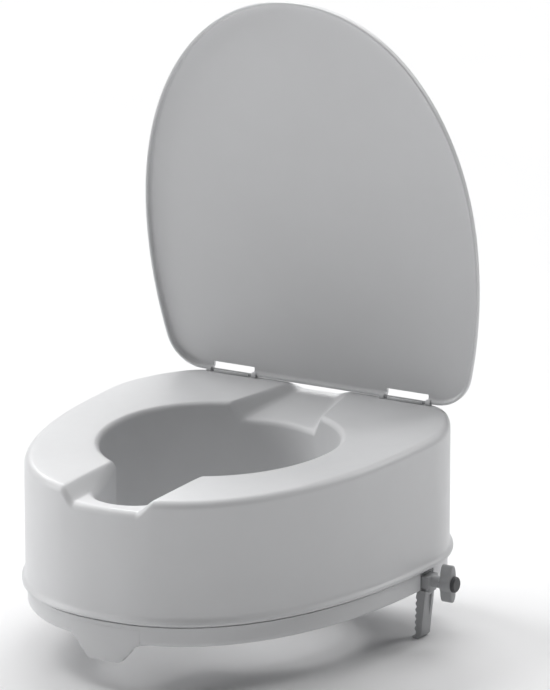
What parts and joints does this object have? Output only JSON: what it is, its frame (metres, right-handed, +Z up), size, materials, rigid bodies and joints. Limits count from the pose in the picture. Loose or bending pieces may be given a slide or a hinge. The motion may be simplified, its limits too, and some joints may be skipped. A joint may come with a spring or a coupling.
{
  "type": "raised toilet seat",
  "caption": "Raised toilet seat with a hinged lid, a bowl opening with front and rear recesses, a front tongue and a screw-driven toothed clamp on each side.",
  "frame": {"origin": "middle of the bounding box in plan, on the plane that the feet of the two clamp arms reach", "axes": "+X towards the sitter's left, +Y towards the rear (the hinge), +Z up"},
  "size_m": [0.4244, 0.413, 0.5856],
  "materials": {
    "white_plastic": "satin white moulded plastic",
    "lid_plastic": "smooth white moulded plastic",
    "grey_plastic": "mid-grey moulded plastic",
    "dark_plastic": "dark grey moulded plastic",
    "steel": "stainless steel",
    "rubber": "soft dark rubber"
  },
  "bodies": {
    "seat": {"seat_shell": "white_plastic", "base_ring": "white_plastic", "hinge_clip_left": "white_plastic", "clamp_guide_left": "grey_plastic", "clamp_nut_left": "steel", "guide_screw_left_front": "steel", "guide_screw_left_rear": "steel", "base_screw_left_rear": "steel", "base_screw_left_middle": "steel", "base_screw_left_front": "steel", "rim_pad_left_side": "rubber", "rim_pad_left_front": "rubber", "rim_pad_left_rear": "rubber", "hinge_clip_right": "white_plastic", "clamp_guide_right": "grey_plastic", "clamp_nut_right": "steel", "guide_screw_right_front": "steel", "guide_screw_right_rear": "steel", "base_screw_right_rear": "steel", "base_screw_right_middle": "steel", "base_screw_right_front": "steel", "rim_pad_right_side": "rubber", "rim_pad_right_front": "rubber", "rim_pad_right_rear": "rubber"},
    "lid": {"lid": "lid_plastic", "hinge_pin_left": "grey_plastic", "hinge_pin_right": "grey_plastic"},
    "arm_left": {"clamp_arm_left": "grey_plastic"},
    "knob_left": {"clamp_knob_left": "grey_plastic", "knob_cap_left": "dark_plastic", "clamp_screw_left": "steel", "thrust_washer_left": "steel", "screw_clip_left": "steel"},
    "arm_right": {"clamp_arm_right": "grey_plastic"},
    "knob_right": {"clamp_knob_right": "grey_plastic", "knob_cap_right": "dark_plastic", "clamp_screw_right": "steel", "thrust_washer_right": "steel", "screw_clip_right": "steel"}
  },
  "joints": [
    {"name": "lid_hinge", "type": "hinge", "parent": "seat", "child": "lid", "pos_m": [0, 0.194, 0.1979], "axis": [1, 0, 0], "range_deg": [-20, 84.2]},
    {"name": "arm_slide_left", "type": "slide", "parent": "seat", "child": "arm_left", "axis": [-1, 0, 0], "range_m": [0, 0.011]},
    {"name": "knob_turn_left", "type": "hinge", "parent": "arm_left", "child": "knob_left", "pos_m": [0.1946, 0.091, 0.057], "axis": [-1, 0, 0], "range_deg": [0, 3960]},
    {"name": "arm_slide_right", "type": "slide", "parent": "seat", "child": "arm_right", "axis": [1, 0, 0], "range_m": [0, 0.011]},
    {"name": "knob_turn_right", "type": "hinge", "parent": "arm_right", "child": "knob_right", "pos_m": [-0.1946, 0.091, 0.057], "axis": [1, 0, 0], "range_deg": [0, 3960]}
  ],
  "couplings": [
    {"joint": "knob_turn_left", "follows": "arm_slide_left", "rad_per_m": 6283.2},
    {"joint": "knob_turn_right", "follows": "arm_slide_right", "rad_per_m": 6283.2}
  ]
}
